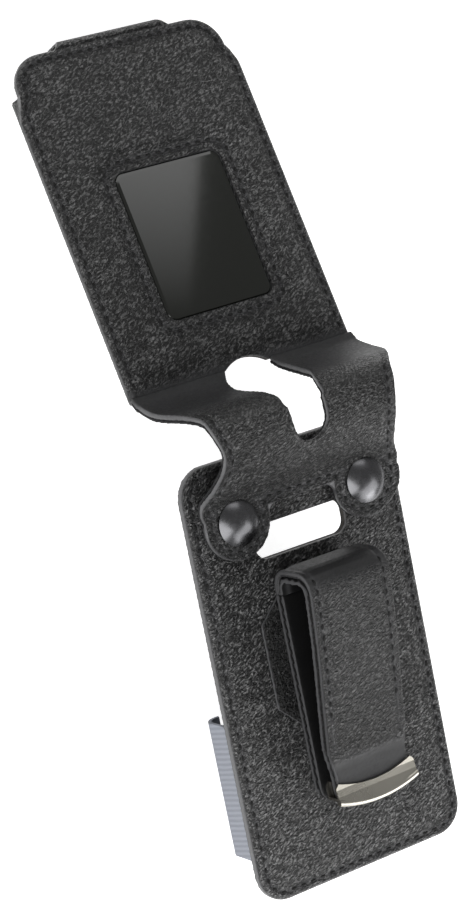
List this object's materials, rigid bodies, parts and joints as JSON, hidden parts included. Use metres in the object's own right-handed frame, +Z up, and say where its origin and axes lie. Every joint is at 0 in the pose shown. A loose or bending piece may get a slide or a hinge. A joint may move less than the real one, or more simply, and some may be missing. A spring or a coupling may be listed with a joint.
{
  "type": "phone belt holster",
  "caption": "Hinged leather holster for a flip phone: windowed lid cover and base cover joined by a snapped strap over the hinge, with a leather-covered belt clip and elastic side bands.",
  "frame": {"origin": "on the ground under the middle of the opened holster, halfway between its far ends", "axes": "+X across the holster to its right, +Y from the base cover to the lid cover, +Z up"},
  "size_m": [0.06, 0.201, 0.0418],
  "materials": {
    "leather": "pebbled grain, satin",
    "lining": "brushed tricot, matt",
    "clip_lining": "smooth, satin",
    "board": "fibre-filled sheet, matt",
    "elastic": "woven elastic, matt",
    "snap_brass": "nickel-plated",
    "gunmetal": "gunmetal, glossy",
    "spring_steel": "hardened strip, oiled",
    "nickel": "nickel-plated, satin",
    "film": "smoked clear film, glossy"
  },
  "bodies": {
    "base": {"base_cover": "leather", "base_board": "board", "base_lining": "lining", "side_band_left": "elastic", "side_band_right": "elastic", "snap_stud_left": "snap_brass", "snap_stud_right": "snap_brass", "clip_patch": "leather", "clip_plate": "spring_steel", "clip_rivets": "spring_steel", "clip_back_cover": "leather", "clip_back_lining": "clip_lining", "clip_spring": "spring_steel"},
    "strap": {"hinge_strap": "leather", "strap_lining": "lining", "snap_cap_left": "gunmetal", "snap_cap_right": "gunmetal", "snap_socket_left": "snap_brass", "snap_socket_right": "snap_brass"},
    "lid": {"lid_cover": "leather", "lid_board": "board", "lid_lining": "lining", "window_film": "film"},
    "clip_arm": {"clip_front_cover": "leather", "clip_front_lining": "clip_lining", "clip_tip": "nickel"}
  },
  "joints": [
    {"name": "snap_release", "type": "slide", "parent": "base", "child": "strap", "axis": [0, -0.1787, 0.9839], "range_m": [0, 0.0022]},
    {"name": "lid_fold", "type": "hinge", "parent": "strap", "child": "lid", "pos_m": [0, -0.00202, 0.01712], "axis": [-1, 0, 0], "range_deg": [0, 158], "deforming": ["hinge_strap", "strap_lining"]},
    {"name": "clip_flex", "type": "hinge", "parent": "base", "child": "clip_arm", "pos_m": [0, -0.03225, 0.02575], "axis": [-1, 0, 0], "range_deg": [0, 8], "stiffness_Nm_per_rad": 2.5, "deforming": ["clip_spring"]}
  ]
}
